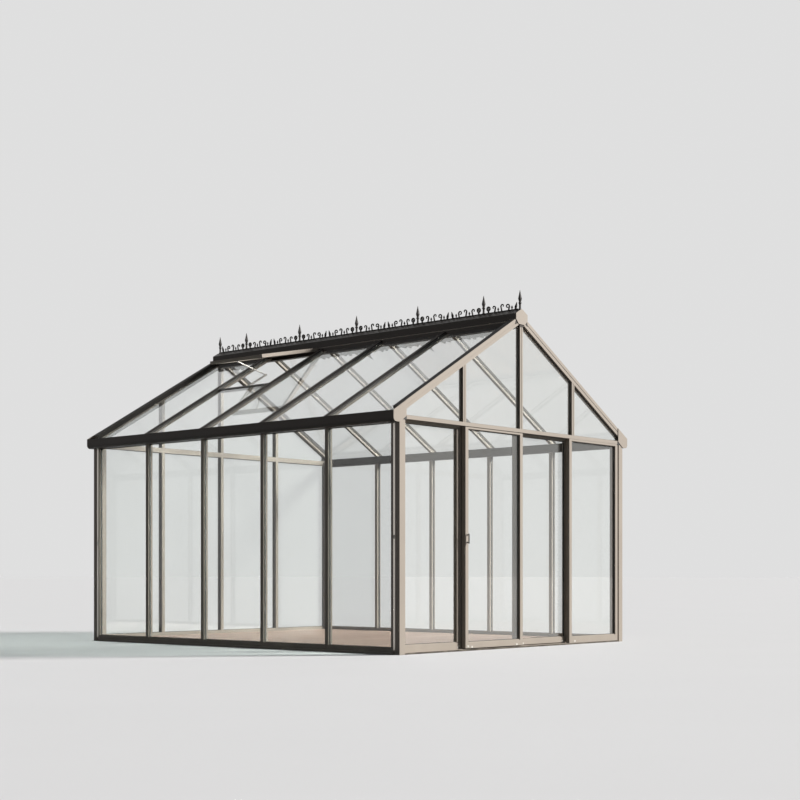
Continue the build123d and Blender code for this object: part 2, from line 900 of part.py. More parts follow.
def tip_leaf():
    """The leaf at a panel's end, which leans over the gap to the next panel."""
    half = tip_leaf_width / 2
    middle = tip_leaf_height / 2
    return Pos(tip_leaf_share * crest_half) * outline([
        (-half / 2, 0),
        (half / 2, 0),
        (half + tip_leaf_lean / 3, middle),
        (tip_leaf_lean, tip_leaf_height),
        (tip_leaf_lean / 3 - half, middle),
    ])


def crest_half_panel():
    """The ornament on one side of a panel's spike."""
    ornament = wheel() + scroll(hook_share, hook_height, hook_radius, hook_turn, -1)
    ornament += scroll(curl_share, curl_height, curl_radius, curl_turn, 1)
    ornament += scroll(snail_share, snail_height, snail_radius, snail_turn, -1)
    for share in bud_shares:
        ornament += bud(share)
    return ornament + tip_leaf()


def crest_panel(n):
    """The cresting over bay n: a rail with the same ornament to both sides of its middle."""
    ornament = crest_half_panel()
    section = Pos(0, crest_rail_height / 2) * Rectangle(2 * crest_half, crest_rail_height)
    section += ornament + mirror(ornament, Plane.YZ)
    middle = front_grid + bay * (n + 0.5)
    return along_x(Pos(middle, ridge_top()) * section, -crest_thickness / 2, crest_thickness / 2)


def spike_outline(foot, foot_width):
    """A spike seen from the side: a stem on a foot, a collar and a spear head."""
    stem, collar = spike_stem_width / 2, spike_collar_width / 2
    return outline(mirrored_points([
        (foot_width / 2, foot),
        (stem, foot + foot_width / 2),
        (stem, spike_collar_place - collar),
        (collar, spike_collar_place),
        (stem, spike_collar_place + collar),
        (spike_head_width / 2, spike_head_place),
        (spike_tip_width / 2, spike_height),
    ]))


def spike(y, foot, foot_width):
    """A four-sided spike at a place along the ridge, from its foot's height above the ridge."""
    section = spike_outline(foot, foot_width)
    reach = max(foot_width, spike_head_width)
    seen_from_side = along_x(Pos(y, ridge_top()) * section, -reach, reach)
    return seen_from_side & along_y(Pos(0, ridge_top()) * section, y - reach, y + reach)


def ridge_spikes():
    """The spikes on the middles of the cresting's panels, and one at each end of the ridge."""
    middles = [front_grid + bay * (n + 0.5) for n in range(side_bays)]
    ends = [front_plane + wall_margin / 2, rear_plane - wall_margin / 2]
    return [spike(y, crest_rail_height, spike_foot_width) for y in middles] + [
        spike(y, 0, spike_end_foot_width) for y in ends
    ]


def save_both(name, shapes):
    """Writes the solids of the right half as one node, and their mirror images as the left one."""
    save(f"right_{name}", shapes)
    save(f"left_{name}", [mirror(shape, Plane.YZ) for shape in shapes])


def save_frame():
    """Writes the base, the posts, the beams and the roof's bars."""
    save("floor", [floor()])
    save("side_base_rails", both_sides(side_base()))
    save("rear_base_rail", [rear_base()])
    save("front_sill", [front_sill()])
    save("corner_posts", corner_posts())
    save("wall_posts", wall_posts(-1) + wall_posts(1))
    save("rear_posts", rear_lower_bars())
    save("front_tie_beam", [front_tie_beam()])
    save("door_head_rails", door_head_rails())
    save("rear_tie_beam", [rear_tie_beam()])
    save("front_upper_bars", upper_bars(True))
    save("rear_upper_bars", upper_bars(False))
    front_rafter, rear_rafter = front_and_rear(gable_rafter())
    save("front_rafters", both_sides(front_rafter))
    save("rear_rafters", both_sides(rear_rafter))
    save_both("gutter", [gutter()])
    save("eave_plates", eave_plates())
    save("apex_plates", front_and_rear(apex_plate()))
    save("ridge_beam", [ridge_beam()])
    save("ridge_cresting", [crest_panel(n) for n in range(side_bays)])
    save("ridge_spikes", ridge_spikes())
    save_both("roof_bars", [mirror(bar, Plane.YZ) for bar in left_roof_bars()])


def save_glass():
    """Writes the fixed panes."""
    save("left_roof_glass", roof_panes(True))
    save("right_roof_glass", [mirror(pane, Plane.YZ) for pane in roof_panes(False)])
    save("left_wall_glass", side_panes(-1))
    save("right_wall_glass", side_panes(1))
    save("rear_wall_glass", rear_lower_panes())
    save("front_upper_glass", upper_panes(True))
    save("rear_upper_glass", upper_panes(False))


def save_vent():
    """Writes the vent and what carries it."""
    save("vent_crossbar", [vent_crossbar()])
    save("vent_sash", [vent_sash()])
    save("vent_glass", [vent_pane()])
    save("vent_opener", [vent_opener()])


def save_front_panels():
    """Writes the fixed panels and the two sliding doors of the front gable."""
    save("fixed_panel_frames", fixed_panels())
    save("fixed_panel_glass", [panel_pane(0, inner_face), panel_pane(panel_count - 1, outer_face)])
    for side, n, face in (("left", 1, outer_face), ("right", 2, inner_face)):
        save(f"{side}_door_frame", [door_frame(n, face)])
        save(f"{side}_door_glass", [panel_pane(n, face)])
        save(f"{side}_door_runners", door_runners(n, face))
    save("left_door_handle", [door_handle(1, outer_face)])


os.makedirs("parts", exist_ok=True)
save_frame()
save_glass()
save_vent()
save_front_panels()
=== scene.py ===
"""Looks of a free-standing glass garden room: finishes, boarded floor, glazing seals and fittings."""

import logging
import math
from contextlib import contextmanager
from dataclasses import dataclass
from enum import Enum
from typing import Iterator, NamedTuple, Optional, Sequence

import bpy
from mathutils import Matrix, Vector


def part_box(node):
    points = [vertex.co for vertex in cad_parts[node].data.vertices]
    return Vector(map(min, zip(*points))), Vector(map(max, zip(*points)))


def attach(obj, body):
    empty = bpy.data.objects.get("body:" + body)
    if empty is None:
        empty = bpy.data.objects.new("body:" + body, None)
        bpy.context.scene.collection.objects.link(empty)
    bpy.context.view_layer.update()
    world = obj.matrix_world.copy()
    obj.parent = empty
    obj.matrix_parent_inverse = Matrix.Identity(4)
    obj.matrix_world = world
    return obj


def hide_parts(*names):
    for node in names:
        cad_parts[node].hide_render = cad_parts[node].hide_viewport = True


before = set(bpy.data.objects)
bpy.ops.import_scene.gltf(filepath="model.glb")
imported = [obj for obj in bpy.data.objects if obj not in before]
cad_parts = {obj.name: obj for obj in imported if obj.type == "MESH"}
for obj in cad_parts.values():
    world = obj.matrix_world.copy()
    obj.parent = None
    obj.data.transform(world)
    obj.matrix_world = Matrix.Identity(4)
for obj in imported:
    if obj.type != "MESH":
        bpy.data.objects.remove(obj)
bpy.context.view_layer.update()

LOG = logging.getLogger("garden_room")

Point = Sequence[float]
Colour = tuple[float, float, float]
Piece = bpy.types.Object
Pieces = list[Piece]
Socket = bpy.types.NodeSocket
Material = bpy.types.Material

ALONG_X = (1, 0, 0)
ALONG_Y = (0, 1, 0)
UP = (0, 0, 1)
# The angle below which facets are shaded as one surface
SMOOTH_BELOW = math.radians(35)
# How squarely a facet looks along a bar to count as its end
END_FACE = 0.9
# The range that nearly all of a noise's values lie in
NOISE_ENDS = (0.3, 0.7)
# Half the thickness of a pane, and the width of the seals on it
GLASS_HALF = 0.002
SEAL_BAND = 0.004


class Body(Enum):
    """The bodies that pieces ride on."""

    BUILDING = "building"
    LEFT_DOOR = "left_door"
    RIGHT_DOOR = "right_door"


class Slot(Enum):
    """The record's material slots, which no piece in this script is given."""

    FRAME = "frame"
    CRESTING = "cresting"
    FLOOR = "floor"
    FITTINGS = "fittings"
    RUNNERS = "runners"


class Round(NamedTuple):
    """A round section: its radius, how far its rims are rounded, and the facets round it."""

    radius: float
    rim: float
    sides: int = 20


# Meshes


def pick(pieces: Pieces) -> None:
    """Selects these pieces and no others, with the first one active.

    Args:
        pieces: The pieces.
    """
    bpy.ops.object.select_all(action="DESELECT")
    for piece in pieces:
        piece.select_set(True)
    bpy.context.view_layer.objects.active = pieces[0]


@contextmanager
def editing(piece: Piece) -> Iterator[None]:
    """Puts one piece in edit mode with all of it selected, and leaves edit mode afterwards.

    Args:
        piece: The mesh to shape.
    """
    pick([piece])
    bpy.ops.object.mode_set(mode="EDIT")
    bpy.ops.mesh.select_all(action="SELECT")
    yield
    bpy.ops.object.mode_set(mode="OBJECT")


def settle(piece: Piece) -> Piece:
    """Moves a piece's place, turn and size into its mesh.

    Args:
        piece: The piece as it was added.

    Returns:
        The same piece, at the origin.
    """
    pick([piece])
    bpy.ops.object.transform_apply(location=True, rotation=True, scale=True)
    return piece


def block(low: Point, high: Point, edge: float = 0.0, segments: int = 1) -> Piece:
    """A box with bevelled edges.

    Args:
        low: Its lowest corner.
        high: Its highest corner.
        edge: Width of the bevel, or 0 for sharp edges.
        segments: Facets across the bevel.

    Returns:
        The piece.
    """
    centre = [(a + b) / 2 for a, b in zip(low, high)]
    size = [b - a for a, b in zip(low, high)]
    bpy.ops.mesh.primitive_cube_add(size=1, location=centre, scale=size)
    piece = settle(bpy.context.active_object)
    if edge:
        with editing(piece):
            bpy.ops.mesh.bevel(offset=edge, segments=segments, affect="EDGES")
    return piece


def round_bar(start: Point, end: Point, section: Round) -> Piece:
    """A round bar between two points, with rounded rims.

    Args:
        start: Middle of one end.
        end: Middle of the other end.
        section: Its section.

    Returns:
        The piece.
    """
    run = Vector(end) - Vector(start)
    bpy.ops.mesh.primitive_cylinder_add(
        vertices=section.sides, radius=section.radius, depth=run.length,
        location=(Vector(start) + Vector(end)) / 2, rotation=run.to_track_quat("Z", "Y").to_euler(),
    )
    piece = settle(bpy.context.active_object)
    axis = run.normalized()
    with editing(piece):
        bpy.ops.mesh.select_all(action="DESELECT")
        bpy.ops.mesh.select_mode(type="FACE")
        bpy.ops.object.mode_set(mode="OBJECT")
        for face in piece.data.polygons:
            face.select = abs(face.normal.dot(axis)) > END_FACE
        bpy.ops.object.mode_set(mode="EDIT")
        bpy.ops.mesh.region_to_loop()
        bpy.ops.mesh.bevel(offset=section.rim, segments=2, affect="EDGES")
    bpy.ops.object.shade_smooth_by_angle(angle=SMOOTH_BELOW)
    return piece


def seal_ring(
    width: float, height: float, depth: float, corner: Point, along: Point, up: Point = UP,
    cut: Optional[tuple[Point, Point]] = None,
) -> Piece:
    """A ring of seal on one face of a pane.

    Args:
        width: Its width.
        height: Its height.
        depth: Its thickness, below 0 on the face away from the cross product of along and up.
        corner: Its first corner, in the middle of the glass.
        along: The direction of its width.
        up: The direction of its height.
        cut: A point and an outward normal of a slanting edge, from the corner, or None for a rectangle.

    Returns:
        The ring.
    """
    bpy.ops.mesh.primitive_plane_add(size=1, location=(width / 2, height / 2, 0))
    ring = bpy.context.active_object
    ring.scale = (width, height, 1)
    settle(ring)
    with editing(ring):
        if cut:
            bpy.ops.mesh.bisect(plane_co=cut[0], plane_no=cut[1], clear_outer=True)
            bpy.ops.mesh.select_all(action="SELECT")
        bpy.ops.mesh.inset(thickness=SEAL_BAND)
        bpy.ops.mesh.delete(type="FACE")
        bpy.ops.mesh.select_all(action="SELECT")
        bpy.ops.mesh.extrude_region_move(TRANSFORM_OT_translate={"value": (0, 0, depth)})
        bpy.ops.mesh.select_all(action="SELECT")
        bpy.ops.mesh.normals_make_consistent(inside=False)
    x, y = Vector(along), Vector(up)
    z = x.cross(y)
    place = Vector(corner) + z * math.copysign(GLASS_HALF, depth)
    ring.data.transform(Matrix.Translation(place) @ Matrix((x, y, z)).transposed().to_4x4())
    return ring


def copy_of(piece: Piece, change: Matrix) -> Piece:
    """A copy with its own mesh, moved or mirrored.

    Args:
        piece: What is copied.
        change: The move, turn or mirror, in the object's frame.

    Returns:
        The copy.
    """
    twin = piece.copy()
    twin.data = piece.data.copy()
    twin.data.transform(change)
    if change.determinant() < 0:
        twin.data.flip_normals()
    bpy.context.collection.objects.link(twin)
    return twin


def copies(pattern: Piece, changes: Sequence[Matrix]) -> Pieces:
    """Copies of a pattern, which is used up.

    Args:
        pattern: What is copied.
        changes: The move, turn or mirror of each copy.

    Returns:
        The copies.
    """
    made = [copy_of(pattern, change) for change in changes]
    bpy.data.objects.remove(pattern)
    return made


def joined(pieces: Pieces) -> Piece:
    """One object made of several.

    Args:
        pieces: The objects, of which the first stays.

    Returns:
        The joined piece.
    """
    pick(pieces)
    if len(pieces) > 1:
        bpy.ops.object.join()
    return pieces[0]


def both_sides(pieces: Pieces) -> Pieces:
    """The pieces and their mirror images across the building's centre line."""
    return [*pieces, *[copy_of(piece, Matrix.Scale(-1, 4, ALONG_X)) for piece in pieces]]


# Materials


class Nodes:
    """A node tree, with short ways to add what the finishes and the studio share."""

    def __init__(self, tree: bpy.types.NodeTree) -> None:
        """Keeps the tree."""
        self.tree = tree

    def feed(self, socket: Socket, value: object) -> None:
        """Links a socket to another one, or sets its value.

        Args:
            socket: The input.
            value: An output socket or a value.
        """
        if isinstance(value, Socket):
            self.tree.links.new(value, socket)
        else:
            socket.default_value = value

    def add(self, kind: str, inputs: Optional[dict] = None, **settings: object) -> bpy.types.Node:
        """Adds a node.

        Args:
            kind: The node's type name.
            inputs: Values or output sockets by input name or number.
            settings: The node's own settings.

        Returns:
            The node.
        """
        node = self.tree.nodes.new(kind)
        for name, value in settings.items():
            setattr(node, name, value)
        for name, value in (inputs or {}).items():
            self.feed(node.inputs[name], value)
        return node

    def math(self, operation: str, a: object, b: object) -> Socket:
        """A sum, product or other operation on two values or sockets."""
        return self.add("ShaderNodeMath", {0: a, 1: b}, operation=operation).outputs[0]

    def blend(self, share: object, a: object, b: object) -> Socket:
        """A colour between two colours or sockets, by how much of the second shows."""
        a, b = ((*c, 1) if isinstance(c, tuple) else c for c in (a, b))
        return self.add("ShaderNodeMix", {0: share, 6: a, 7: b}, data_type="RGBA").outputs[2]

    def seen(self) -> Socket:
        """Tells the rays that show a thing to the camera from those that only carry its light.

        Returns:
            1 for a camera ray and for what is seen in or through another thing, else 0.
        """
        path = self.add("ShaderNodeLightPath").outputs
        mirrored = self.math("MAXIMUM", path["Is Camera Ray"], path["Is Glossy Ray"])
        return self.math("MAXIMUM", mirrored, path["Is Transmission Ray"])


class Network(Nodes):
    """A material's nodes, with the textures that the finishes share."""

    def __init__(self, name: str) -> None:
        """Starts a material.

        Args:
            name: The material's name.
        """
        self.material = bpy.data.materials.new(name)
        self.material.use_nodes = True
        super().__init__(self.material.node_tree)
        self.surface = self.tree.nodes["Principled BSDF"]
        self.output = self.tree.nodes["Material Output"]
        self.place = self.add("ShaderNodeTexCoord").outputs["Object"]

    def noise(self, scale: float, detail: float, stretch: Point = (1, 1, 1)) -> Socket:
        """A noise over the object's own coordinates, by cells per metre and octaves."""
        place = self.add("ShaderNodeMapping", {"Vector": self.place, "Scale": stretch}).outputs[0]
        inputs = {"Vector": place, "Scale": scale, "Detail": detail}
        return self.add("ShaderNodeTexNoise", inputs).outputs[0]

    def spread(self, value: Socket, to: Point, ends: Point = NOISE_ENDS) -> Socket:
        """Carries a value to one range from another, which is a noise's unless it is given."""
        inputs = dict(zip(("Value", "From Min", "From Max", "To Min", "To Max"), (value, *ends, *to)))
        return self.add("ShaderNodeMapRange", inputs).outputs[0]

    def relief(self, height: Socket, strength: float, depth: float) -> None:
        """Gives the surface a relief, whose depth is in metres."""
        bump = self.add("ShaderNodeBump", {"Strength": strength, "Distance": depth, "Height": height})
        self.feed(self.surface.inputs["Normal"], bump.outputs[0])

    def set(self, **values: object) -> None:
        """Sets or links the surface's own sockets, whose names are written with underscores."""
        for name, value in values.items():
            self.feed(self.surface.inputs[name.replace("_", " ")], value)


@dataclass(frozen=True)
class Finish:
    """What every finish has: a name, and nodes that each kind lays its own way."""

    name: str

    def lay(self, net: Network) -> None:
        """Lays the finish's nodes in a new material."""
        raise NotImplementedError

    def make(self) -> Material:
        """Makes the material.

        Returns:
            The material.
        """
        net = Network(self.name)
        self.lay(net)
        return net.material


@dataclass(frozen=True)
class PowderCoat(Finish):
    """A baked satin coat on metal, with a fine orange peel and dust near the ground."""

    colour: Colour
    second: Colour
    roughness: float
    metal: float = 0.0
    gloss: float = 0.18
    dust: Colour = (0.3, 0.27, 0.23)
    dust_height: float = 0.16
    dust_share: float = 0.55
    dust_roughness: float = 0.4
    peel: float = 0.25
    peel_depth: float = 0.0003

    def lay(self, net: Network) -> None:
        """Lays its nodes."""
        tone = net.spread(net.noise(2.2, 5), to=(0, 1), ends=(0.35, 0.65))
        height = net.add("ShaderNodeSeparateXYZ", {0: net.place}).outputs["Z"]
        low = net.spread(height, to=(self.dust_share, 0.0), ends=(0, self.dust_height))
        patch = net.spread(net.noise(9, 6), to=(0.1, 1), ends=(0.35, 0.75))
        dusty = net.math("MULTIPLY", low, patch)
        clean = net.spread(net.noise(5, 4), to=(self.roughness - 0.02, self.roughness + 0.03))
        net.set(
            Base_Color=net.blend(dusty, net.blend(tone, self.colour, self.second), self.dust),
            Metallic=self.metal,
            Specular_IOR_Level=self.gloss,
            Roughness=net.math("ADD", clean, net.math("MULTIPLY", dusty, self.dust_roughness)),
        )
        net.relief(net.noise(700, 2), self.peel, self.peel_depth)


@dataclass(frozen=True)
class CastCoat(Finish):
    """Paint on cast metal, a little lighter where its edges are rubbed, and slightly pitted."""

    colour: Colour
    worn: Colour
    gloss: float = 0.2

    def lay(self, net: Network) -> None:
        """Lays its nodes."""
        edge = net.add("ShaderNodeNewGeometry").outputs["Pointiness"]
        edge = net.spread(edge, to=(0, 0.5), ends=(0.52, 0.62))
        rubbed = net.math("MULTIPLY", edge, net.noise(30, 4))
        net.set(
            Base_Color=net.blend(rubbed, self.colour, self.worn),
            Metallic=0.0,
            Specular_IOR_Level=self.gloss,
            Roughness=net.spread(net.noise(60, 4), to=(0.52, 0.7)),
        )
        net.relief(net.noise(260, 5), strength=0.5, depth=0.0006)


@dataclass(frozen=True)
class ClearGlass(Finish):
    """Float glass with a faint tint, a slight wave and thin dust."""

    tint: Colour
    dust: Colour
    clear: Colour = (0.94, 0.965, 0.955)

    def lay(self, net: Network) -> None:
        """Lays its nodes, which let the light that falls on other things straight through."""
        film = net.spread(net.noise(1.7, 6), to=(0, 0.35), ends=(0.45, 0.85))
        net.set(
            Base_Color=net.blend(film, self.tint, self.dust),
            Transmission_Weight=0.95,
            Roughness=0.0,
            IOR=1.45,
        )
        net.relief(net.noise(0.9, 1), strength=0.03, depth=0.001)
        path = net.add("ShaderNodeLightPath").outputs
        through = net.math("MAXIMUM", path["Is Shadow Ray"], path["Is Diffuse Ray"])
        clear = net.add("ShaderNodeBsdfTransparent", {"Color": (*self.clear, 1)})
        mix = net.add("ShaderNodeMixShader", {0: through, 1: net.surface.outputs[0], 2: clear.outputs[0]})
        net.feed(net.output.inputs["Surface"], mix.outputs[0])


@dataclass(frozen=True)
class DeckWood(Finish):
    """Oiled deck boards that run along X, each with its own tone."""

    light: Colour
    dark: Colour
    pitch: float
    start: float

    def lay(self, net: Network) -> None:
        """Lays its nodes."""
        across = net.add("ShaderNodeSeparateXYZ", {0: net.place}).outputs["Y"]
        row = net.math("DIVIDE", net.math("SUBTRACT", across, self.start), self.pitch)
        row = net.math("FLOOR", row, 0)
        tone = net.add("ShaderNodeTexWhiteNoise", {"W": row}, noise_dimensions="1D").outputs[0]
        grain = net.noise(3, 8, stretch=(1.2, 26, 26))
        fine = net.noise(10, 4, stretch=(1.5, 90, 90))
        share = net.math("ADD", net.math("MULTIPLY", tone, 0.4), net.spread(grain, to=(0, 0.6)))
        net.set(
            Base_Color=net.blend(share, self.light, self.dark),
            Roughness=net.spread(fine, to=(0.5, 0.72)),
        )
        height = net.math("ADD", grain, net.math("MULTIPLY", fine, 0.5))
        net.relief(height, strength=0.4, depth=0.0008)


@dataclass(frozen=True)
class Moulded(Finish):
    """Rubber or plastic with a fine moulded grain."""

    colour: Colour
    second: Colour
    roughness: float
    swing: float = 0.08

    def lay(self, net: Network) -> None:
        """Lays its nodes."""
        tone = net.spread(net.noise(25, 5), to=(0, 1))
        ends = (self.roughness - self.swing, self.roughness + self.swing)
        net.set(
            Base_Color=net.blend(tone, self.colour, self.second),
            Roughness=net.spread(net.noise(60, 3), to=ends),
        )
        net.relief(net.noise(500, 3), strength=0.3, depth=0.0003)


@dataclass(frozen=True)
class BrushedSteel(Finish):
    """Stainless steel with fine drawn lines."""

    colour: Colour
    second: Colour

    def lay(self, net: Network) -> None:
        """Lays its nodes."""
        tone = net.spread(net.noise(12, 3), to=(0, 0.4))
        drawn = net.noise(40, 4, stretch=(1, 1, 20))
        net.set(
            Base_Color=net.blend(tone, self.colour, self.second),
            Metallic=1.0,
            Roughness=net.spread(drawn, to=(0.22, 0.4)),
        )
        net.relief(drawn, strength=0.15, depth=0.0002)


class Finishes:
    """All finishes, made once."""

    def __init__(self, row_pitch: float, row_start: float) -> None:
        """Makes the materials.

        Args:
            row_pitch: Distance from one row of floor boards to the next.
            row_start: Where the first row begins along Y.
        """
        # Bronze coat of the frame, lighter than the real dark coat: partly its own colour, partly painted
        # sheen that makes faces turned to the light read bright.
        self.frame = PowderCoat(
            "bronze_coat_painted_sheen", (0.374, 0.334, 0.291), (0.348, 0.31, 0.272), 0.45
        ).make()
        # Near-black coat for the ridge, the gutters, the vent's crossbar and the sill's foot strip: the
        # same metal as the frame, painted darker as painted shade.
        self.ridge = PowderCoat(
            "dark_coat_painted_shade", (0.033, 0.027, 0.0235), (0.026, 0.0215, 0.0185), 0.42, metal=0.2
        ).make()
        # Black coat for the strips over the roof bars and gable rafters: painted shade of a roof that
        # lies in shade.
        self.painted_shade_cap = PowderCoat(
            "cap_coat_painted_shade", (0.014, 0.012, 0.011), (0.011, 0.0095, 0.009), 0.6, gloss=0.15
        ).make()
        # Pale metal strip in the corner posts' grooves: a painted highlight standing for the lit line
        # down each post.
        self.painted_highlight_strip = PowderCoat(
            "groove_strip_painted_highlight", (0.58, 0.54, 0.49), (0.53, 0.49, 0.45), 0.38, metal=1.0, gloss=0.5
        ).make()
        self.cast = CastCoat("cast_crest_paint", (0.012, 0.0105, 0.01), (0.022, 0.019, 0.017)).make()
        self.glass = ClearGlass("clear_glass", (0.97, 0.985, 0.98), (0.93, 0.94, 0.93)).make()
        self.deck = DeckWood(
            "oiled_deck_boards", (0.5, 0.36, 0.29), (0.27, 0.17, 0.13), row_pitch, row_start
        ).make()
        self.underlay = Moulded("deck_underlay", (0.03, 0.026, 0.023), (0.045, 0.04, 0.035), 0.8).make()
        self.rubber = Moulded(
            "black_glazing_rubber", (0.012, 0.012, 0.012), (0.02, 0.02, 0.02), 0.6
        ).make()
        self.nylon = Moulded("white_nylon", (0.6, 0.585, 0.55), (0.53, 0.515, 0.48), 0.5).make()
        self.black = Moulded(
            "black_satin_pull", (0.015, 0.015, 0.015), (0.024, 0.023, 0.022), 0.35
        ).make()
        self.steel = BrushedSteel("brushed_steel", (0.3, 0.29, 0.28), (0.22, 0.21, 0.2)).make()


def hand_over(
    pieces: Pieces, name: str, finish: Material, body: Body = Body.BUILDING
) -> Piece:
    """Joins the parts of a finished piece, names and dresses it and sets it on its body.

    Args:
        pieces: The parts, at the origin.
        name: Its name.
        finish: Its material.
        body: The body that it rides on.

    Returns:
        The piece.
    """
    piece = joined(pieces)
    piece.name = name
    piece.data.name = name
    piece.data.materials.clear()
    piece.data.materials.append(finish)
    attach(piece, body.value)
    LOG.info("%s: %d faces on %s", name, len(piece.data.polygons), body.value)
    return piece


# The building's lines, as the frame has them


@dataclass
class Lines:
    """Where the frame's members stand."""

    bay: float = 0.82
    side_bays: int = 5
    gable_bays: int = 4
    pitch: float = math.radians(30.2)
    bar_half: float = 0.021
    inner_half: float = 0.018
    glass_inset: float = 0.024
    corner_depth: float = 0.097
    corner_width: float = 0.084
    ridge_lip: float = 0.092
    roof_rise: float = 0.05
    board: float = 0.142
    joint: float = 0.004

    def __post_init__(self) -> None:
        """Reads the frame's boxes, and works out the roof's slope and the floor's rows."""
        front, rear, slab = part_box("front_tie_beam"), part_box("rear_tie_beam"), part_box("floor")
        self.base_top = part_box("side_base_rails")[1][2]
        self.half, self.front = front[1][0], front[0][1]
        self.rear, self.tie_top, self.tie_foot = rear[1][1], rear[1][2], rear[0][2]
        self.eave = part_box("left_gutter")[0][2]
        self.roof_at_wall = self.tie_top + self.roof_rise
        self.slope = math.tan(self.pitch)
        run = slab[1][1] - slab[0][1] + self.joint
        self.rows = round(run / (self.board + self.joint))
        self.row_pitch = run / self.rows
        self.row_start = slab[0][1]

    def side_bars(self) -> list[float]:
        """Where the bars of a side wall and of the roof stand along Y."""
        first = self.front + (self.rear - self.front - self.bay * self.side_bays) / 2
        return [first + self.bay * n for n in range(1, self.side_bays)]

    def gable_bars(self) -> list[float]:
        """Where the bars of a gable stand along X."""
        return [self.bay * (n - self.gable_bays / 2) for n in range(1, self.gable_bays)]

    def below_roof(self, x: float, depth: float) -> float:
        """Height at x of the line that lies a square distance below the roof surface."""
        return self.roof_at_wall + (self.half - abs(x)) * self.slope - depth / math.cos(self.pitch)

    def up_slope(self, gap: float) -> float:
        """Length up the slope, from the wall to a level distance short of the ridge's middle."""
        return (self.half - gap) / math.cos(self.pitch)

    def roof_frame(self, y: float) -> Matrix:
        """The left slope's own frame: X up the slope from the wall, Y along the ridge, Z out of it."""
        foot = Matrix.Translation((-self.half, y, self.roof_at_wall))
        return foot @ Matrix.Rotation(-self.pitch, 4, "Y")


# Sub-assemblies


@dataclass
class Assembly:
    """What all sub-assemblies need."""

    lines: Lines
    finishes: Finishes


@dataclass
class Deck(Assembly):
    """The boarded floor on its underlay, in place of the plain slab."""

    underlay: float = 0.006
    long_share: float = 0.6
    edge: float = 0.0015
    underlay_edge: float = 0.0005
    side_gap: float = 0.0003
    post_gap: float = 0.001

    def row(self, n: int, inset: float) -> Pieces:
        """The two boards of a row, whose joint changes sides from row to row.

        Args:
            n: The row, from the front.
            inset: How much shorter it is at each end.

        Returns:
            The boards.
        """
        lines = self.lines
        low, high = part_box("floor")
        start, end = low[0] + inset, high[0] - inset
        middle = start + (end - start) * (self.long_share if n % 2 else 1 - self.long_share)
        front = lines.row_start + n * lines.row_pitch
        back, gap = front + lines.row_pitch - lines.joint, lines.joint / 2
        return [
            block((a, front, self.underlay), (b, back, high[2]), self.edge)
            for a, b in ((start, middle - gap), (middle + gap, end))
        ]

    def build(self) -> None:
        """Lays the floor."""
        lines = self.lines
        low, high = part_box("floor")
        notch = high[0] - (lines.half - lines.corner_width) + self.side_gap
        pair = (self.row(0, 0.0), self.row(1, 0.0))
        last = lines.rows - 1
        boards = [*pair[0], *pair[1]]
        for n in range(2, last):
            move = Matrix.Translation((0, (n - n % 2) * lines.row_pitch, 0))
            boards += [copy_of(board, move) for board in pair[n % 2]]
        boards += self.row(last, notch)
        deck = hand_over(boards, "deck_boards", self.finishes.deck)
        back = lines.rear - lines.corner_depth - self.post_gap
        top, edge = self.underlay, self.underlay_edge
        base = [
            block(low, (high[0], back, top), edge),
            block((low[0] + notch, back, 0), (high[0] - notch, high[1], top), edge),
        ]
        under = hand_over(base, "deck_underlay", self.finishes.underlay)
        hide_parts("floor")
        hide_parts("floor")


